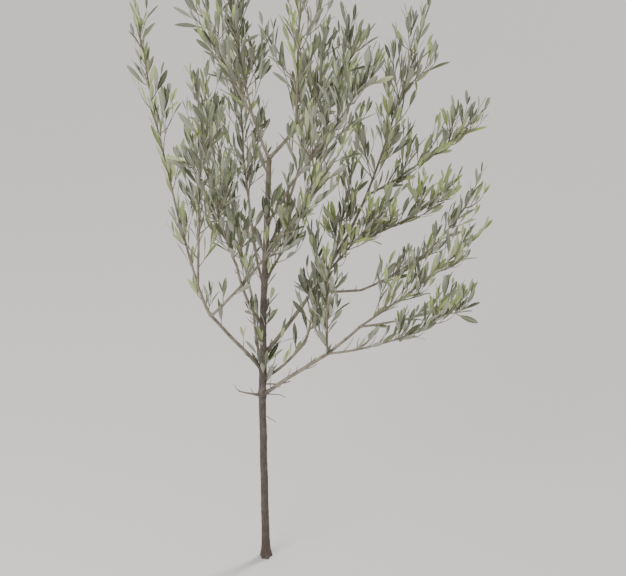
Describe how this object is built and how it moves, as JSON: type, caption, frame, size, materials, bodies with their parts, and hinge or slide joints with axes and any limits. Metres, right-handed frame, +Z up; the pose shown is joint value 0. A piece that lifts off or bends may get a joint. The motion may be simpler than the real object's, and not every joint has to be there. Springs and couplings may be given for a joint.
{
  "type": "young olive tree",
  "caption": "Young olive tree rooted in level ground: slim trunk, boughs that sweep up in a vase, and narrow grey-green leaves in opposite pairs.",
  "frame": {"origin": "middle of the flat cut at ground level under the trunk", "axes": "+Z up along the trunk, +X towards the long low boughs on the right, -Y towards the viewer of the picture"},
  "size_m": [0.7733, 0.5435, 1.4393],
  "materials": {
    "bark": "grey-brown bark, matt, with fine upright furrows",
    "young_bark": "smooth pale grey-beige young bark, matt",
    "foliage": "leathery leaves, grey-green above and silvery below, satin"
  },
  "bodies": {
    "root": {"trunk": "bark", "bough_left_low": "young_bark", "bough_left_outer": "young_bark", "bough_left_cross": "young_bark", "bough_left_inner": "young_bark", "bough_left_stub": "young_bark", "bough_right_low": "young_bark", "bough_right_skirt": "young_bark", "bough_right_second": "young_bark", "bough_right_main": "young_bark", "bough_right_side": "young_bark", "bough_right_top": "young_bark", "bough_front": "young_bark", "bough_back": "young_bark", "bough_back_right": "young_bark", "bough_front_right": "young_bark", "bough_top_right": "young_bark", "bough_top_left": "young_bark", "leaves_left_outer": "foliage", "leaves_left_second": "foliage", "leaves_left_cross": "foliage", "leaves_left_inner": "foliage", "leaves_right_low": "foliage", "leaves_right_skirt": "foliage", "leaves_right_mid": "foliage", "leaves_right_inner": "foliage", "leaves_right_outer": "foliage", "leaves_right_rise": "foliage", "leaves_right_brush": "foliage", "leaves_right_heart": "foliage", "leaves_right_nest": "foliage", "leaves_right_upper": "foliage", "leaves_right_top": "foliage", "leaves_right_main": "foliage", "leaves_front": "foliage", "leaves_back": "foliage", "leaves_back_right": "foliage", "leaves_front_right": "foliage", "leaves_top_right": "foliage", "leaves_leader": "foliage", "leaves_top_left": "foliage", "leaves_top_mid": "foliage"}
  },
  "joints": []
}
